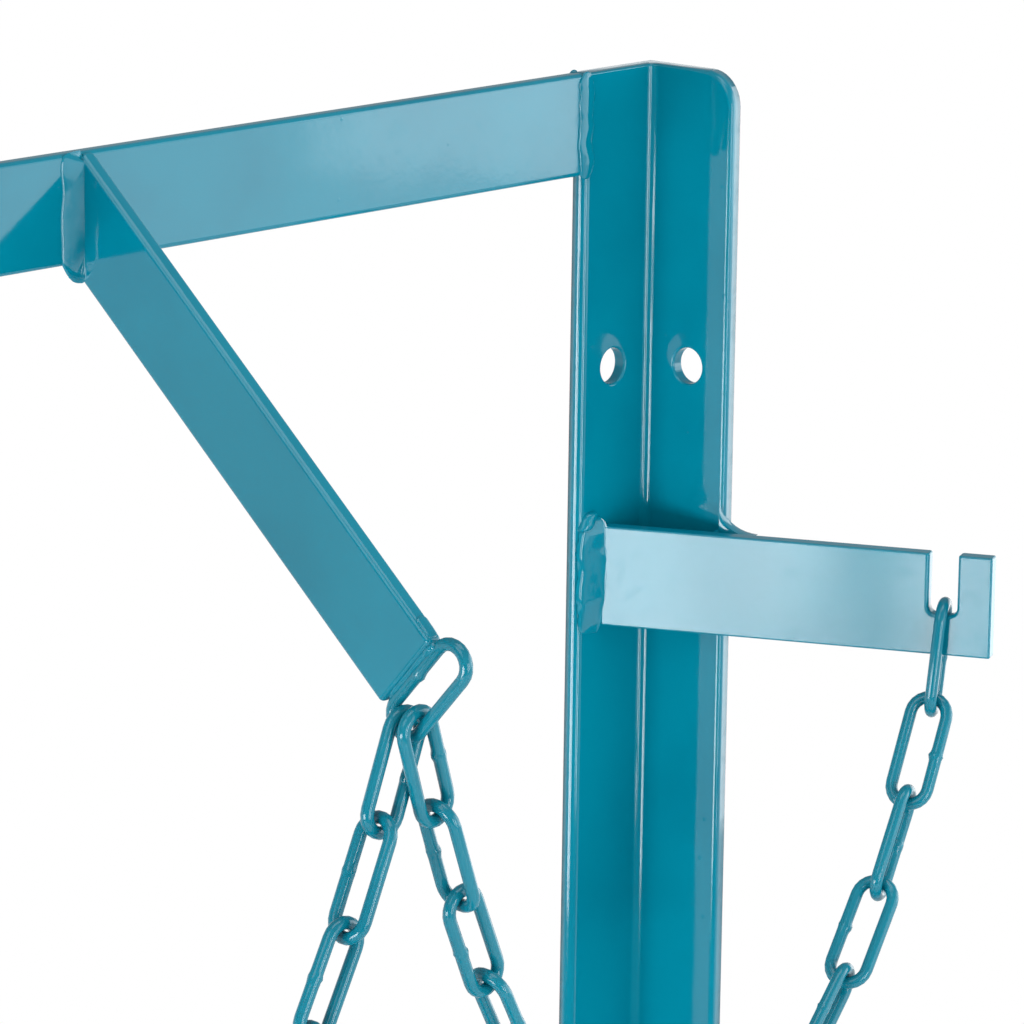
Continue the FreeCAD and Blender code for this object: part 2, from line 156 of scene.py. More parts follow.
softbox("softbox_left", (-1.85, 0.19, 0.36), (0.3, 0.19, 0.36), 1.24, 0.54, 13.0)
softbox("softbox_high_left", (-1.5, -0.1, 2.0), (0.2, 0.1, 0.8), 1.0, 1.0, 1.8)
softbox("softbox_front_right", (1.35, -1.6, 1.2), (0, 0.1, 0.9), 2.2, 1.4, 1.6, cool)
softbox("softbox_far_right", (2.5, -1.3, 1.15), (0, 0.1, 0.9), 1.2, 1.3, 2.0, cool)
softbox("softbox_right", (2.2, 0.1, 0.8), (0, 0.1, 0.8), 1.2, 1.2, 1.7)
softbox("strip_front_left", (-0.5, -1.6, 0.68), (0.2, 0.1, 0.68), 0.28, 0.9, 6.8)
softbox("strip_front", (0.12, -1.7, 0.68), (0.2, 0.1, 0.68), 0.28, 0.9, 9.2)
softbox("softbox_overhead", (-0.1, -0.3, 2.6), (0, 0, 0.6), 1.6, 0.9, 2.0)

# Floor. A plain pale matt disc under the stand. It takes the stand's shadow, and for the camera it
# fades into the white room towards its rim.
floor_radius = 1.5
fade_from = 0.55
fade_to = 1.4
floor_mesh = bmesh.new()
bmesh.ops.create_circle(floor_mesh, cap_ends=True, segments=64, radius=floor_radius)
floor_data = bpy.data.meshes.new("floor")
floor_mesh.to_mesh(floor_data)
floor = bpy.data.objects.new("floor", floor_data)
bpy.context.scene.collection.objects.link(floor)
floor_paint = bpy.data.materials.new("pale_floor")
floor_paint.use_nodes = True
tree = floor_paint.node_tree
pale = tree.nodes["Principled BSDF"]
pale.inputs["Base Color"].default_value = (0.86, 0.86, 0.86, 1)
pale.inputs["Roughness"].default_value = 0.9
white = tree.nodes.new("ShaderNodeEmission")
white.inputs["Strength"].default_value = 1
place = tree.nodes.new("ShaderNodeTexCoord")
reach = tree.nodes.new("ShaderNodeVectorMath")
reach.operation = "LENGTH"
fade = tree.nodes.new("ShaderNodeMapRange")
fade.interpolation_type = "SMOOTHSTEP"
fade.inputs["From Min"].default_value = fade_from
fade.inputs["From Max"].default_value = fade_to
seen = tree.nodes.new("ShaderNodeLightPath")
only_seen = tree.nodes.new("ShaderNodeMath")
only_seen.operation = "MULTIPLY"
blend = tree.nodes.new("ShaderNodeMixShader")
tree.links.new(place.outputs["Object"], reach.inputs[0])
tree.links.new(reach.outputs["Value"], fade.inputs["Value"])
tree.links.new(fade.outputs["Result"], only_seen.inputs[0])
tree.links.new(seen.outputs["Is Camera Ray"], only_seen.inputs[1])
tree.links.new(only_seen.outputs[0], blend.inputs["Fac"])
tree.links.new(pale.outputs[0], blend.inputs[1])
tree.links.new(white.outputs[0], blend.inputs[2])
tree.links.new(blend.outputs[0], tree.nodes["Material Output"].inputs["Surface"])
floor_data.materials.append(floor_paint)

# Posts. Two lengths of hot-rolled equal steel angle, with a rounded root and toes, a round at the
# top of the side flange and a drilled hole in each flange, all under a glossy teal powder coat.
post_face_x = 277.5
post_rear_y = 150.0
angle_leg = 40.0
angle_thickness = 5.0
root_radius = 3.0
toe_radius = 3.0
top_round = 12.0
plate_top = 5.0
post_top = 1000.0
hole_radius = 6.25
hole_z = 897.0
hole_from_corner = 23.0
arris = 0.9
teal = (0.0, 0.228, 0.328, 1)
deep_teal = (0.0, 0.198, 0.29, 1)


def powder_coat_group():
    """Sprayed powder coat: fine orange peel, slow waves, dust nibs under it and faint scuffs."""
    group = bpy.data.node_groups.new("powder_coat", "ShaderNodeTree")
    face = group.interface
    for name, kind, value in (
        ("Colour", "NodeSocketColor", teal),
        ("Thick Colour", "NodeSocketColor", deep_teal),
        ("Shine", "NodeSocketFloat", 0.06),
        ("Peel Size", "NodeSocketFloat", 620.0),
        ("Peel Height", "NodeSocketFloat", 0.006),
        ("Wave Size", "NodeSocketFloat", 42.0),
        ("Wave Height", "NodeSocketFloat", 0.05),
        ("Nibs", "NodeSocketFloat", 0.05),
    ):
        socket = face.new_socket(name, in_out="INPUT", socket_type=kind)
        socket.default_value = value
    face.new_socket("Colour", in_out="OUTPUT", socket_type="NodeSocketColor")
    face.new_socket("Roughness", in_out="OUTPUT", socket_type="NodeSocketFloat")
    face.new_socket("Height", in_out="OUTPUT", socket_type="NodeSocketFloat")
    given = group.nodes.new("NodeGroupInput")
    result = group.nodes.new("NodeGroupOutput")
    link = group.links.new
    spot = group.nodes.new("ShaderNodeTexCoord")

    def fed(socket, value):
        if isinstance(value, float):
            socket.default_value = value
        else:
            link(value, socket)

    def cloud(scale, detail):
        texture = group.nodes.new("ShaderNodeTexNoise")
        texture.inputs["Detail"].default_value = detail
        link(spot.outputs["Object"], texture.inputs["Vector"])
        fed(texture.inputs["Scale"], scale)
        return texture.outputs["Fac"]

    def worked(operation, first, second):
        step = group.nodes.new("ShaderNodeMath")
        step.operation = operation
        fed(step.inputs[0], first)
        fed(step.inputs[1], second)
        return step.outputs[0]

    def ranged(value, low, high, to_low, to_high):
        step = group.nodes.new("ShaderNodeMapRange")
        step.interpolation_type = "SMOOTHSTEP"
        for name, number in (
            ("From Min", low),
            ("From Max", high),
            ("To Min", to_low),
            ("To Max", to_high),
        ):
            step.inputs[name].default_value = number
        link(value, step.inputs["Value"])
        return step.outputs["Result"]

    peel = worked("MULTIPLY", cloud(given.outputs["Peel Size"], 1.5), given.outputs["Peel Height"])
    wave = worked("MULTIPLY", cloud(given.outputs["Wave Size"], 0.5), given.outputs["Wave Height"])
    cells = group.nodes.new("ShaderNodeTexVoronoi")
    cells.inputs["Scale"].default_value = 95.0
    link(spot.outputs["Object"], cells.inputs["Vector"])
    near_nib = ranged(cells.outputs["Distance"], 0.035, 0.085, 1.0, 0.0)
    here = group.nodes.new("ShaderNodeSeparateColor")
    link(cells.outputs["Color"], here.inputs["Color"])
    few = ranged(here.outputs["Red"], 0.86, 0.9, 0.0, 1.0)
    nib = worked("MULTIPLY", near_nib, few)
    nib_height = worked("MULTIPLY", nib, given.outputs["Nibs"])
    height = worked("ADD", worked("ADD", peel, wave), nib_height)
    link(height, result.inputs["Height"])
    thick = ranged(cloud(18.0, 3.0), 0.35, 0.7, 0.0, 1.0)
    shade = group.nodes.new("ShaderNodeMix")
    shade.data_type = "RGBA"
    link(thick, shade.inputs["Factor"])
    link(given.outputs["Colour"], shade.inputs["A"])
    link(given.outputs["Thick Colour"], shade.inputs["B"])
    link(shade.outputs["Result"], result.inputs["Colour"])
    dull = worked("MULTIPLY", ranged(cloud(260.0, 4.0), 0.45, 0.8, 0.0, 1.0), 0.04)
    nib_dull = worked("MULTIPLY", nib, 0.15)
    rough = worked("ADD", worked("ADD", given.outputs["Shine"], dull), nib_dull)
    link(rough, result.inputs["Roughness"])
    return group


def coated_steel(name, values):
    """Material of a powder-coated part, with that part's own values in the shared group."""
    material = bpy.data.materials.new(name)
    material.use_nodes = True
    nodes = material.node_tree.nodes
    link = material.node_tree.links.new
    shader = nodes["Principled BSDF"]
    shader.inputs["IOR"].default_value = 1.5
    coat = nodes.new("ShaderNodeGroup")
    coat.node_tree = powder_coat
    for key, value in values.items():
        coat.inputs[key].default_value = value
    relief = nodes.new("ShaderNodeBump")
    relief.inputs["Strength"].default_value = 1
    relief.inputs["Distance"].default_value = mm
    link(coat.outputs["Colour"], shader.inputs["Base Color"])
    link(coat.outputs["Roughness"], shader.inputs["Roughness"])
    link(coat.outputs["Height"], relief.inputs["Height"])
    link(relief.outputs["Normal"], shader.inputs["Normal"])
    return material


def rounded(bm, radius, segments, chosen):
    """Rounds the edges that the given test chooses."""
    bmesh.ops.bevel(
        bm,
        geom=[edge for edge in bm.edges if chosen(edge)],
        offset=radius,
        offset_type="OFFSET",
        segments=segments,
        profile=0.5,
        affect="EDGES",
        material=-1,
        clamp_overlap=True,
    )


def middle_of(edge):
    return (edge.verts[0].co + edge.verts[1].co) / 2


def is_sharp(edge):
    return len(edge.link_faces) == 2 and edge.calc_face_angle(0) > math.radians(35)


def finished(bm, name, body, material, nodes):
    """A piece worked out in millimetres becomes an object in metres that stands for its nodes."""
    bmesh.ops.remove_doubles(bm, verts=bm.verts[:], dist=0.0005)
    bmesh.ops.recalc_face_normals(bm, faces=bm.faces[:])
    bmesh.ops.scale(bm, vec=(mm, mm, mm), verts=bm.verts[:])
    data = bpy.data.meshes.new(name)
    bm.to_mesh(data)
    bm.free()
    data.materials.append(material)
    data.shade_smooth()
    piece = bpy.data.objects.new(name, data)
    bpy.context.scene.collection.objects.link(piece)
    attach(piece, body)
    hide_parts(*nodes)
    return piece


def evenly_shaded(piece):
    """Broad flat faces keep their own normals, so only the rounded arrises curve the light."""
    shading = piece.modifiers.new("even_shading", "WEIGHTED_NORMAL")
    shading.weight = 100
    shading.keep_sharp = False


def drilled(bm, holes):
    """Cuts round holes with eased rims through the mesh, each given by its centre and direction."""
    half = angle_thickness / 2
    profile = [
        (side * (half - arris + arris * math.sin(turn)), hole_radius + arris * (1 - math.cos(turn)))
        for side, steps in ((-1, range(4, -1, -1)), (1, range(5)))
        for turn in [step * math.pi / 8 for step in steps]
    ]
    profile.append((3 * half, hole_radius + arris))
    cutters = []
    target_data = bpy.data.meshes.new("undrilled")
    bm.to_mesh(target_data)
    target = bpy.data.objects.new("undrilled", target_data)
    bpy.context.scene.collection.objects.link(target)
    for centre, direction in holes:
        drill = bmesh.new()
        bmesh.ops.create_circle(
            drill,
            cap_ends=True,
            segments=64,
            radius=hole_radius + arris,
            matrix=Matrix.Translation((0, 0, -3 * half)),
        )
        rim = drill.edges[:]
        for height, radius in profile:
            drawn = bmesh.ops.extrude_edge_only(drill, edges=rim)["geom"]
            for vert in [item for item in drawn if isinstance(item, bmesh.types.BMVert)]:
                outwards = Vector((vert.co.x, vert.co.y, 0)).normalized()
                vert.co = outwards * radius + Vector((0, 0, height))
            rim = [
                item
                for item in drawn
                if isinstance(item, bmesh.types.BMEdge)
                and all(abs(vert.co.z - height) < 0.001 for vert in item.verts)
            ]
        bmesh.ops.contextual_create(drill, geom=rim)
        bmesh.ops.recalc_face_normals(drill, faces=drill.faces[:])
        turned = direction.to_track_quat("Z", "Y").to_matrix().to_4x4()
        bmesh.ops.transform(drill, matrix=Matrix.Translation(centre) @ turned, verts=drill.verts[:])
        drill_data = bpy.data.meshes.new("drill")
        drill.to_mesh(drill_data)
        drill.free()
        cutter = bpy.data.objects.new("drill", drill_data)
        bpy.context.scene.collection.objects.link(cutter)
        cut = target.modifiers.new("cut", "BOOLEAN")
        cut.operation = "DIFFERENCE"
        cut.solver = "EXACT"
        cut.object = cutter
        cutters.append(cutter)
    bpy.context.view_layer.update()
    cut_mesh = target.evaluated_get(bpy.context.evaluated_depsgraph_get()).to_mesh()
    bm.clear()
    bm.from_mesh(cut_mesh)
    for tool in cutters + [target]:
        bpy.data.objects.remove(tool)


powder_coat = powder_coat_group()
frame_paint = coated_steel("teal_powder_coat", {})


def angle_post(side):
    """The right post's angle, or its mirror image on the left."""
    left = post_face_x - angle_leg
    inner_x = post_face_x - angle_thickness
    inner_y = post_rear_y - angle_thickness
    toe_y = post_rear_y - angle_leg
    bm = bmesh.new()
    section = [
        (left, post_rear_y),
        (left, inner_y),
        (inner_x, inner_y),
        (inner_x, toe_y),
        (post_face_x, toe_y),
        (post_face_x, post_rear_y),
    ]
    foot = bm.faces.new([bm.verts.new((x, y, plate_top)) for x, y in section])
    risen = bmesh.ops.extrude_face_region(bm, geom=[foot])["geom"]
    top = [item for item in risen if isinstance(item, bmesh.types.BMVert)]
    bmesh.ops.translate(bm, verts=top, vec=(0, 0, post_top - plate_top))

    def front_top(edge):
        spot = middle_of(edge)
        return spot.y < toe_y + 0.1 and spot.z > post_top - 0.1

    rounded(bm, top_round, 10, front_top)

    def root(edge):
        spot = middle_of(edge)
        return abs(spot.x - inner_x) < 0.1 and abs(spot.y - inner_y) < 0.1

    rounded(bm, root_radius, 6, root)

    def rear_toe(edge):
        spot = middle_of(edge)
        along = abs(edge.verts[0].co.z - edge.verts[1].co.z)
        return abs(spot.x - left) < 0.1 and abs(spot.y - inner_y) < 0.1 and along > 100

    rounded(bm, toe_radius, 5, rear_toe)

    def side_toe(edge):
        inside = all(abs(vert.co.x - inner_x) < 0.1 for vert in edge.verts)
        spot = middle_of(edge)
        in_front = spot.y < toe_y + top_round - 0.01 and spot.z > plate_top + 0.1
        on_top = spot.z > post_top - 0.05 and spot.y > toe_y + top_round - 0.05
        return inside and in_front and not on_top and is_sharp(edge)

    rounded(bm, toe_radius, 5, side_toe)
    rounded(bm, arris, 3, is_sharp)
    # A ring of edges close to each end keeps the ends' shading out of the long faces.
    for ring_z in (plate_top + 1, post_top - 1):
        whole = bm.verts[:] + bm.edges[:] + bm.faces[:]
        bmesh.ops.bisect_plane(bm, geom=whole, plane_co=(0, 0, ring_z), plane_no=(0, 0, 1))
    bmesh.ops.recalc_face_normals(bm, faces=bm.faces[:])
    middle = angle_thickness / 2
    rear_hole = Vector((post_face_x - hole_from_corner, post_rear_y - middle, hole_z))
    side_hole = Vector((post_face_x - middle, post_rear_y - hole_from_corner, hole_z))
    drilled(bm, [(rear_hole, Vector((0, 1, 0))), (side_hole, Vector((1, 0, 0)))])
    bmesh.ops.scale(bm, vec=(side, 1, 1), verts=bm.verts[:])
    return bm


for side, name in ((1, "right_post"), (-1, "left_post")):
    post = angle_post(side)
    evenly_shaded(finished(post, name + "_angle", "frame", frame_paint, [name]))

# Crossbar. A rolled flat bar on edge, butted between the toes of the posts' rear flanges, with its
# long edges rounded by the mill.
crossbar_low = 965.0
crossbar_face_y = 144.5
flat_thickness = 6.0
flat_arris = 1.7
crossbar_half = post_face_x - angle_leg

crossbar = bmesh.new()
bmesh.ops.create_cube(crossbar, size=1)
bmesh.ops.scale(
    crossbar,
    vec=(2 * crossbar_half, flat_thickness, post_top - crossbar_low),
    verts=crossbar.verts[:],
)
bmesh.ops.translate(
    crossbar,
    vec=(0, crossbar_face_y + flat_thickness / 2, (post_top + crossbar_low) / 2),
    verts=crossbar.verts[:],
)
rounded(crossbar, flat_arris, 6, is_sharp)
evenly_shaded(
    finished(crossbar, "crossbar_flat", "frame", frame_paint, ["crossbar"])
)

# Middle arm. A flat bar on edge that slopes forwards and down from the top of the crossbar, cut to
# the crossbar's face at its root and square at its end.
arm_slope = math.radians(41.5)
arm_length = 196.0
arm_height = 30.0
arm_run = Vector((0, -math.cos(arm_slope), -math.sin(arm_slope)))
arm_up = Vector((0, -math.sin(arm_slope), math.cos(arm_slope)))
arm_start = Vector((0, crossbar_face_y, post_top))
arm_end = arm_start + arm_run * arm_length


def laid(place, x_axis, y_axis, z_axis):
    """Matrix that lays a piece drawn on its own axes along the given directions."""
    matrix = Matrix((x_axis, y_axis, z_axis)).transposed().to_4x4()
    matrix.translation = place
    return matrix


def trimmed(bm, point, normal):
    """Saws off what lies beyond a plane and closes the cut."""
    everything = bm.verts[:] + bm.edges[:] + bm.faces[:]
    cut = bmesh.ops.bisect_plane(
        bm, geom=everything, plane_co=point, plane_no=normal, clear_outer=True
    )
    rim = [item for item in cut["geom_cut"] if isinstance(item, bmesh.types.BMEdge)]
    bmesh.ops.contextual_create(bm, geom=rim)


middle_arm = bmesh.new()
spare = 40.0
bmesh.ops.create_cube(middle_arm, size=1)
bmesh.ops.scale(
    middle_arm, vec=(arm_length + spare, flat_thickness, arm_height), verts=middle_arm.verts[:]
)
bmesh.ops.translate(
    middle_arm, vec=((arm_length - spare) / 2, 0, -arm_height / 2), verts=middle_arm.verts[:]
)
bmesh.ops.transform(
    middle_arm,
    matrix=laid(arm_start, arm_run, Vector((1, 0, 0)), arm_up),
    verts=middle_arm.verts[:],
)
trimmed(middle_arm, Vector((0, crossbar_face_y, 0)), Vector((0, 1, 0)))
rounded(middle_arm, flat_arris, 6, is_sharp)
evenly_shaded(
    finished(middle_arm, "middle_arm_flat", "frame", frame_paint, ["middle_arm"])
)

# Side arms. Notched flat bars on edge that run forwards and outwards from the posts. The notch is a
# saw cut with rounded bottom corners, and its rim is eased where the chain's end link sits.
side_run_angle = math.radians(66.5)
side_reach = 97.5
side_arm_low = 807.0
side_arm_height = 35.0
notch_near = 75.6
notch_far = 85.6
notch_floor = 14.0
notch_corner = 2.5
notch_lip = 1.3
toe_gap = 3.6
side_run = Vector((math.cos(side_run_angle), -math.sin(side_run_angle), 0))
side_face = Vector((-math.sin(side_run_angle), -math.cos(side_run_angle), 0))
post_toe = Vector((post_face_x - angle_thickness, post_rear_y - angle_leg, 0))
side_back = post_toe + side_face * toe_gap


def notched_arm(side):
    """The right side arm, sawn out of the flat, or its mirror image on the left."""
    bm = bmesh.new()
    outline = [
        (-spare, 0),
        (side_reach, 0),
        (side_reach, side_arm_height),
        (notch_far, side_arm_height),
        (notch_far, notch_floor),
        (notch_near, notch_floor),
        (notch_near, side_arm_height),
        (-spare, side_arm_height),
    ]
    sawn = bm.faces.new([bm.verts.new((x, -flat_thickness, z)) for x, z in outline])
    thick = bmesh.ops.extrude_face_region(bm, geom=[sawn])["geom"]
    back = [item for item in thick if isinstance(item, bmesh.types.BMVert)]
    bmesh.ops.translate(bm, verts=back, vec=(0, flat_thickness, 0))
    bmesh.ops.recalc_face_normals(bm, faces=bm.faces[:])

    def notch_bottom(edge):
        spot = middle_of(edge)
        deep = abs(spot.z - notch_floor) < 0.1
        return deep and abs(spot.y + flat_thickness / 2) < 0.1

    rounded(bm, notch_corner, 5, notch_bottom)

    def notch_rim(edge):
        spot = middle_of(edge)
        at_slot = notch_near - 0.1 < spot.x < notch_far + 0.1
        inside = notch_floor - 0.1 < spot.z < side_arm_height - 0.1
        return at_slot and inside and is_sharp(edge)

    rounded(bm, notch_lip, 4, notch_rim)
    bmesh.ops.transform(
        bm,
        matrix=laid(
            side_back + Vector((0, 0, side_arm_low)), side_run, -side_face, Vector((0, 0, 1))
        ),
        verts=bm.verts[:],
    )
    trimmed(bm, Vector((0, post_rear_y - angle_thickness, 0)), Vector((0, 1, 0)))
    rounded(bm, flat_arris, 6, is_sharp)
    bmesh.ops.scale(bm, vec=(side, 1, 1), verts=bm.verts[:])
    return bm


side_arm_paint = coated_steel("teal_powder_coat_on_side_arms", {"Shine": 0.17, "Wave Height": 0.07})
for side, name in ((1, "right_side_arm"), (-1, "left_side_arm")):
    arm = notched_arm(side)
    evenly_shaded(finished(arm, name + "_flat", "frame", side_arm_paint, [name]))

# Base plate. A steel plate under both posts with rounded corners, cut plainly and painted as the
# rest. The posts stand on it and are welded all round.
plate_half_x = 287.5
plate_half_y = 160.0
plate_corner = 8.0

base = bmesh.new()
bmesh.ops.create_cube(base, size=1)
bmesh.ops.scale(base, vec=(2 * plate_half_x, 2 * plate_half_y, plate_top), verts=base.verts[:])
bmesh.ops.translate(base, vec=(0, 0, plate_top / 2), verts=base.verts[:])
rounded(base, plate_corner, 8, lambda edge: abs(edge.verts[0].co.z - edge.verts[1].co.z) > 1)
rounded(base, arris, 3, is_sharp)
evenly_shaded(
    finished(base, "base_plate_sheet", "frame", frame_paint, ["base_plate"])
)

# Welds. Runs of weld metal left as laid, smoothed over by the coat: beads down the butt joints of
# the crossbar, fillets in the corners of the arms and round the feet, and the bed that holds the
# eye.
weld_paint = coated_steel(
    "teal_powder_coat_on_welds",
    {"Wave Size": 150.0, "Wave Height": 0.1, "Nibs": 0.09},
)


def weld_run(bm, start, end, across, out, width, height, lumps, seed):
    """One run of weld metal from start to end, a long drop with lumps, half sunk in the corner."""
    ball = bmesh.ops.create_uvsphere(bm, u_segments=18, v_segments=44, radius=1)["verts"]
    along = end - start
    for vert in ball:
        t = max(-1.0, min(1.0, vert.co.z))
        round_end = max(0.0, 1 - abs(t) ** 7) ** 0.5
        angle = math.atan2(vert.co.y, vert.co.x)
        here = along.length * t / 2
        slow = noise.noise(Vector((here * 0.16, math.cos(angle) * 0.7, seed)))
        quick = noise.noise(Vector((here * 0.5, math.sin(angle) * 0.9, seed + 7.3)))
        swell = round_end * (1 + lumps * slow + lumps * 0.5 * quick)
        drift = across * lumps * width * 0.35 * noise.noise(Vector((here * 0.12, seed, 3.1)))
        vert.co = (
            start
            + along * (t + 1) / 2
            + drift * round_end
            + across * math.cos(angle) * width * swell
            + out * math.sin(angle) * height * swell
        )


def fillet_run(bm, start, end, side_a, side_b, leg_a, leg_b, toe, low_end, high_end, lean, seed):
    """A fillet between two faces, with a raised rounded border on the first and a blend to the
    second. Each end is given as the share of the run that tapers and what is left of either leg,
    and the far end leans back along the second face."""
    ball = bmesh.ops.create_uvsphere(bm, u_segments=36, v_segments=60, radius=1)["verts"]
    along = end - start
    for vert in ball:
        t = max(-1.0, min(1.0, vert.co.z))
        share = (t + 1) / 2
        round_end = max(0.0, 1 - abs(t) ** 26) ** 0.5
        here = along.length * share
        scale_a = leg_a * (1 + 0.2 * noise.noise(Vector((here * 0.09, 1.7, seed))))
        scale_b = leg_b * (1 + 0.14 * noise.noise(Vector((here * 0.08, 8.9, seed))))
        for ratio, (length, left_a, left_b) in ((share, low_end), (1 - share, high_end)):
            reached = min(1.0, ratio / length) ** 0.7
            scale_a *= left_a + (1 - left_a) * reached
            scale_b *= left_b + (1 - left_b) * reached
        blend = 0.6 * max(0.0, noise.noise(Vector((here * 0.11, 4.4, seed))) - 0.05)
        angle = math.atan2(vert.co.y, vert.co.x)
        if angle >= 0:
            across = 1 - 4 / 3 * math.sin(angle / 2) ** 2
            a = (across + math.hypot(across, blend)) / 2 - 0.02
            a -= 0.8 * blend * max(0.0, -across)
            b = (1 - across) * (1 - toe) + toe * (1 - max(across, 0.0) ** 16) ** 0.5 - 0.01
        else:
            part = -angle / math.pi
            a = max(-0.08, 1 - 2.16 * part)
            b = max(-0.08, 2.3 * part - 1.2)
        place = start + along * share - along.normalized() * lean * share**8 * b
        vert.co = place + (side_a * scale_a * a + side_b * scale_b * b) * round_end


def weld_finish(bm, name, node):
    """A finished weld, creased only where its edge meets the steel."""
    piece = finished(bm, name, "frame", weld_paint, [node])
    piece.data.set_sharp_from_angle(angle=math.radians(60))


def mirrored_copy(bm):
    """The same runs on the left of the stand."""
    copy = bmesh.ops.duplicate(bm, geom=bm.verts[:] + bm.edges[:] + bm.faces[:])["geom"]
    turned = [item for item in copy if isinstance(item, bmesh.types.BMVert)]
    bmesh.ops.scale(bm, vec=(-1, 1, 1), verts=turned)


sideways = Vector((1, 0, 0))
forwards = Vector((0, -1, 0))
upwards = Vector((0, 0, 1))

butt = bmesh.new()
joint_x = crossbar_half
for surface_y, out, seed in (
    (crossbar_face_y, forwards, 1.0),
    (crossbar_face_y + flat_thickness, -forwards, 2.0),
):
    weld_run(
        butt,
        Vector((joint_x, surface_y, crossbar_low - 1.2)),
        Vector((joint_x, surface_y, post_top + 0.6)),
        across=sideways,
        out=out,
        width=3.9,
        height=0.95,
        lumps=0.3,
        seed=seed,
    )
mirrored_copy(butt)
weld_finish(butt, "crossbar_weld_beads", "crossbar_welds")

root_fillet = bmesh.new()
fillet_low = 959.0
arm_half = flat_thickness / 2
for side, leg_a, leg_b, past_top, seed in ((-1, 8.2, 2.1, 0.3, 4.0), (1, 2.6, 2.2, -2.2, 5.0)):
    fillet_run(
        root_fillet,
        Vector((arm_half * side, crossbar_face_y, fillet_low)),
        Vector((arm_half * side, crossbar_face_y, post_top + past_top)),
        side_a=sideways * side,
        side_b=forwards,
        leg_a=leg_a,
        leg_b=leg_b,
        toe=0.14,
        low_end=(0.17, 0.3, 0.9),
        high_end=(0.02, 1.0, 1.0),
        lean=2.6,
        seed=seed,
    )
weld_finish(root_fillet, "middle_arm_weld_fillets", "middle_arm_welds")

side_fillet = bmesh.new()
arm_top = Vector((0, 0, side_arm_low + side_arm_height))
web_reach = 12.5
web_rise = 9.5
web_depth = 6.0
hollow_edge = [step * math.pi / 18 for step in range(10)]
web_outline = [(1 - math.sin(turn), 1 - math.cos(turn)) for turn in hollow_edge] + [(0, 0)]
web_face = side_fillet.faces.new([side_fillet.verts.new((x, z, 0)) for x, z in web_outline])
web = bmesh.ops.extrude_face_region(side_fillet, geom=[web_face])["geom"]
far_side = [item for item in web if isinstance(item, bmesh.types.BMVert)]
bmesh.ops.translate(side_fillet, verts=far_side, vec=(0, 0, 1))
web_place = laid(
    side_back - side_face * 0.8 - side_run * 0.4 + arm_top - upwards * 1.2,
    side_run * web_reach,
    upwards * web_rise,
    -side_face * web_depth,
)
bmesh.ops.transform(side_fillet, matrix=web_place, verts=side_fillet.verts[:])
bmesh.ops.recalc_face_normals(side_fillet, faces=side_fillet.faces[:])
rounded(side_fillet, 0.7, 3, is_sharp)
side_front = side_back + side_face * flat_thickness
side_root = side_front + side_run * ((post_rear_y - angle_thickness - side_front.y) / side_run.y)
fillet_run(
    side_fillet,
    side_root + Vector((0, 0, side_arm_low - 3.0)),
    side_root + Vector((0, 0, side_arm_low + side_arm_height + 3.5)),
    side_a=-sideways,
    side_b=side_run,
    leg_a=9.0,
    leg_b=3.6,
    toe=0.28,
    low_end=(0.3, 0.8, 0.2),
    high_end=(0.12, 0.7, 0.5),
    lean=0.0,
    seed=6.0,
)
weld_run(
    side_fillet,
    side_root + Vector((-6.5, 0, side_arm_low + side_arm_height - 1.0)),
    side_root + Vector((-2.5, -0.5, side_arm_low + side_arm_height + 5.5)),
    across=sideways,
    out=forwards,
    width=3.2,
    height=2.2,
    lumps=0.15,
    seed=21.0,
)
behind_arm = side_back + side_run * 0.5 - side_face * 3.2
weld_run(
    side_fillet,
    behind_arm + Vector((0, 0, side_arm_low - 1.5)),
    behind_arm + arm_top + Vector((0, 0, 0.5)),
    across=side_run,
    out=-side_face,
    width=5.4,
    height=3.9,
    lumps=0.2,
    seed=8.0,
)
mirrored_copy(side_fillet)
weld_finish(side_fillet, "side_arm_weld_fillets", "side_arm_welds")

foot_fillet = bmesh.new()
inner_x = post_face_x - angle_thickness
inner_y = post_rear_y - angle_thickness
for start, end, out, seed in (
    ((post_face_x, post_rear_y), (post_face_x - angle_leg, post_rear_y), Vector((0, 1, 0)), 11.0),
    ((post_face_x, post_rear_y), (post_face_x, post_rear_y - angle_leg), Vector((1, 0, 0)), 12.0),
    ((inner_x - 4, inner_y), (inner_x - 33, inner_y), Vector((0, -1, 0)), 13.0),
    ((inner_x, inner_y - 4), (inner_x, inner_y - 33), Vector((-1, 0, 0)), 14.0),
):
    weld_run(
        foot_fillet,
        Vector((*start, plate_top)),
        Vector((*end, plate_top)),
        across=out,
        out=upwards,
        width=4.2,
        height=4.0,
        lumps=0.25,
        seed=seed,
    )
mirrored_copy(foot_fillet)
weld_finish(foot_fillet, "foot_weld_fillets", "foot_welds")

eye_bed = bmesh.new()
weld_run(
    eye_bed,
    arm_end - arm_up * (arm_height - 2.5) + arm_run * 0.3,
    arm_end - arm_up * 0.8 + arm_run * 0.3,
    across=sideways,
    out=arm_run,
    width=2.5,
    height=1.5,
    lumps=0.16,
    seed=16.0,
)
weld_run(
    eye_bed,
    arm_end - arm_up * 6.0 + arm_run * 0.4,
    arm_end - arm_up * 0.2 + arm_run * 0.9,
    across=sideways,
    out=arm_run,
    width=2.8,
    height=2.0,
    lumps=0.2,
    seed=17.0,
)
weld_run(
    eye_bed,
    arm_end - arm_run * 9.5 - arm_up * 0.1,
    arm_end - arm_run * 1.2 - arm_up * 0.3,
    across=sideways,
    out=arm_up,
    width=2.3,
    height=0.6,
    lumps=0.08,
    seed=18.0,
)
weld_finish(eye_bed, "eye_weld_bed", "eye_weld")

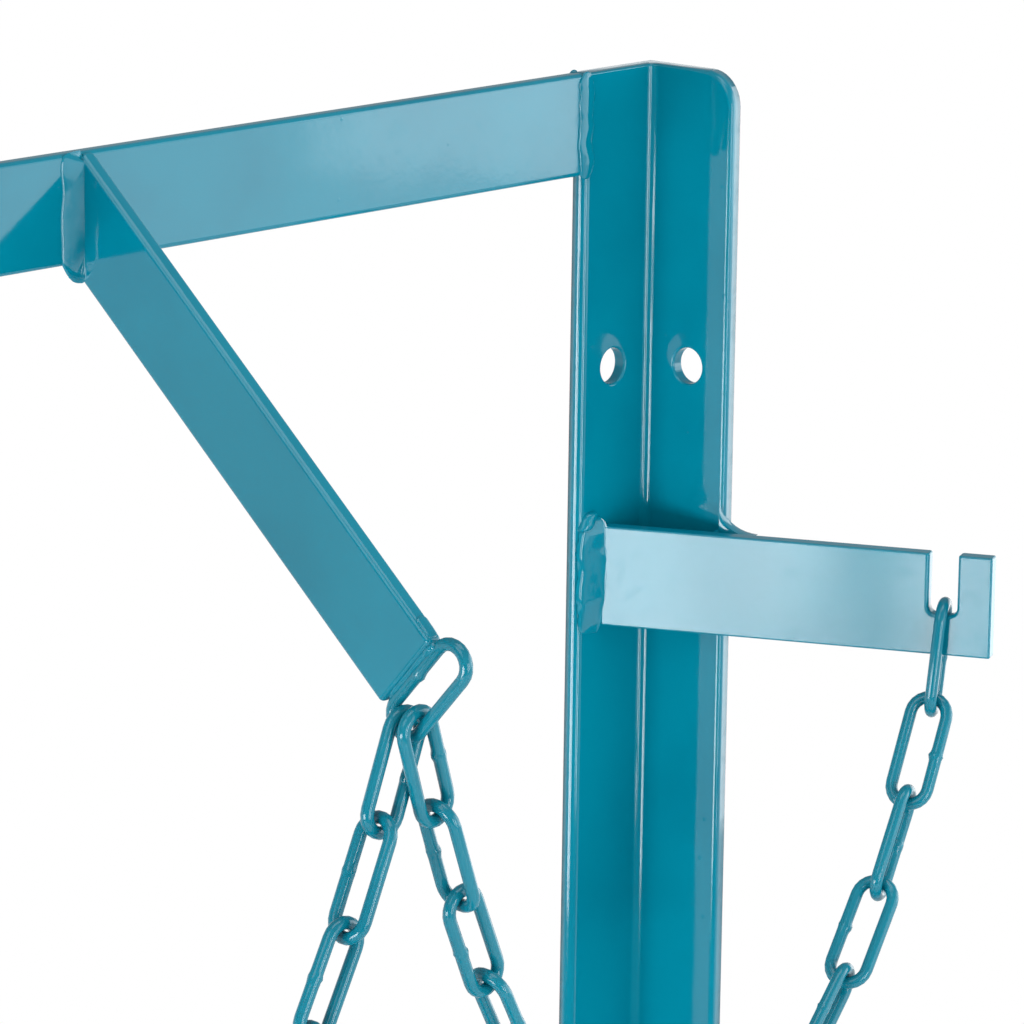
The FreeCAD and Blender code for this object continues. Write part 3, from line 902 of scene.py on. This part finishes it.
# Eye and chains. The eye is one link of the same chain, welded to the end of the middle arm. Each
# link is round steel wire bent into a long oval and butt-welded in the middle of one side, where a
# small burr stands, and the chain was painted together with the frame.
wire_radius = 2.1
bow_radius = 6.3
bow_centre = 12.5
wire_sides = 14
bow_turns = 11
weld_half = 3.5
weld_steps = 12
links_in_chain = 15
chain_paint = coated_steel(
    "teal_powder_coat_on_chain",
    {
        "Colour": (0.004, 0.21, 0.295, 1),
        "Thick Colour": (0.002, 0.17, 0.245, 1),
        "Shine": 0.13,
        "Peel Height": 0.002,
        "Wave Size": 120.0,
        "Wave Height": 0.025,
        "Nibs": 0.02,
    },
)


def wire_link(seed):
    """A link on its own axes: width along X, wire thickness along Y, length along Z."""
    bm = bmesh.new()
    bmesh.ops.create_circle(
        bm,
        cap_ends=False,
        segments=wire_sides,
        radius=wire_radius,
        matrix=Matrix.Translation((bow_radius, 0, -bow_centre)),
    )
    rim = bm.edges[:]

    def drawn_out(edges, distance):
        pulled = bmesh.ops.extrude_edge_only(bm, edges=edges)["geom"]
        moved = [item for item in pulled if isinstance(item, bmesh.types.BMVert)]
        bmesh.ops.translate(bm, verts=moved, vec=(0, 0, distance))
        return [item for item in pulled if isinstance(item, bmesh.types.BMEdge) and is_rim(item)]

    def is_rim(edge):
        return len(edge.link_faces) == 1 and abs(edge.verts[0].co.z - edge.verts[1].co.z) < 0.01

    def bent(edges, height):
        turn = bmesh.ops.spin(
            bm,
            geom=edges,
            cent=(0, 0, height),
            axis=(0, 1, 0),
            angle=-math.pi,
            steps=bow_turns,
            use_merge=False,
        )["geom_last"]
        return [item for item in turn if isinstance(item, bmesh.types.BMEdge)]

    rim = drawn_out(rim, bow_centre - weld_half)
    for _ in range(weld_steps):
        rim = drawn_out(rim, 2 * weld_half / weld_steps)
    rim = drawn_out(rim, bow_centre - weld_half)
    rim = bent(rim, bow_centre)
    rim = drawn_out(rim, -2 * bow_centre)
    bent(rim, -bow_centre)
    bmesh.ops.remove_doubles(bm, verts=bm.verts[:], dist=0.01)
    strength = 0.5 + 0.5 * abs(noise.noise(Vector((seed * 3.7, 0.4, 1.9))))
    turned = math.pi * (1 + 0.35 * noise.noise(Vector((seed * 5.1, 2.2, 0.3))))
    shift = 1.2 * noise.noise(Vector((seed * 1.9, 6.1, 4.4)))
    for vert in bm.verts:
        if vert.co.x > bow_radius - wire_radius * 1.1 and abs(vert.co.z) < weld_half + 0.1:
            from_wire = Vector((vert.co.x - bow_radius, vert.co.y, 0))
            angle = math.atan2(from_wire.y, from_wire.x)
            near = math.exp(-(((vert.co.z - shift) / 1.3) ** 2))
            collar = 0.16 * near
            burr = 0.75 * strength * near * max(0.0, math.cos(angle - turned)) ** 3
            rough = 0.35 * near * noise.noise(vert.co * 1.1 + Vector((seed, 0, 0)))
            vert.co += from_wire.normalized() * (collar + burr + rough)
    return bm


def measured_place(node):
    """Where a link of the frame lies: its centre, and its axes from the spread of its corners."""
    corners = np.array([vert.co[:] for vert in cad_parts[node].data.vertices]) / mm
    corners = np.unique(np.round(corners, 3), axis=0)
    centre = corners.mean(axis=0)
    axes = np.linalg.eigh(np.cov((corners - centre).T))[1]
    length = Vector(axes[:, 2])
    width = Vector(axes[:, 1])
    if length.z < 0:
        length = -length
    if width.x < 0:
        width = -width
    return laid(Vector(centre), width, length.cross(width), length)


def hung_link(name, node, body, seed, burr_side):
    """A link in the place of its node of the frame, with its burr on the given side."""
    link = wire_link(seed)
    bmesh.ops.scale(link, vec=(burr_side, 1, 1), verts=link.verts[:])
    bmesh.ops.transform(link, matrix=measured_place(node), verts=link.verts[:])
    finished(link, name, body, chain_paint, [node])


hung_link("arm_eye_wire", "arm_eye", "frame", 0.5, 1)
for side, side_seed in (("right", 20.0), ("left", 50.0)):
    for number in range(1, links_in_chain):
        body = side + ("_first_link" if number == 1 else "_chain")
        node = "%s_chain_link_%02d" % (side, number)
        flip = -1 if number % 4 in (0, 3) else 1
        hung_link("%s_wire_link_%02d" % (side, number), node, body, side_seed + number, flip)
    end_seed = side_seed + links_in_chain
    hung_link(side + "_end_link", side + "_hook_link", side + "_hook", end_seed, 1)
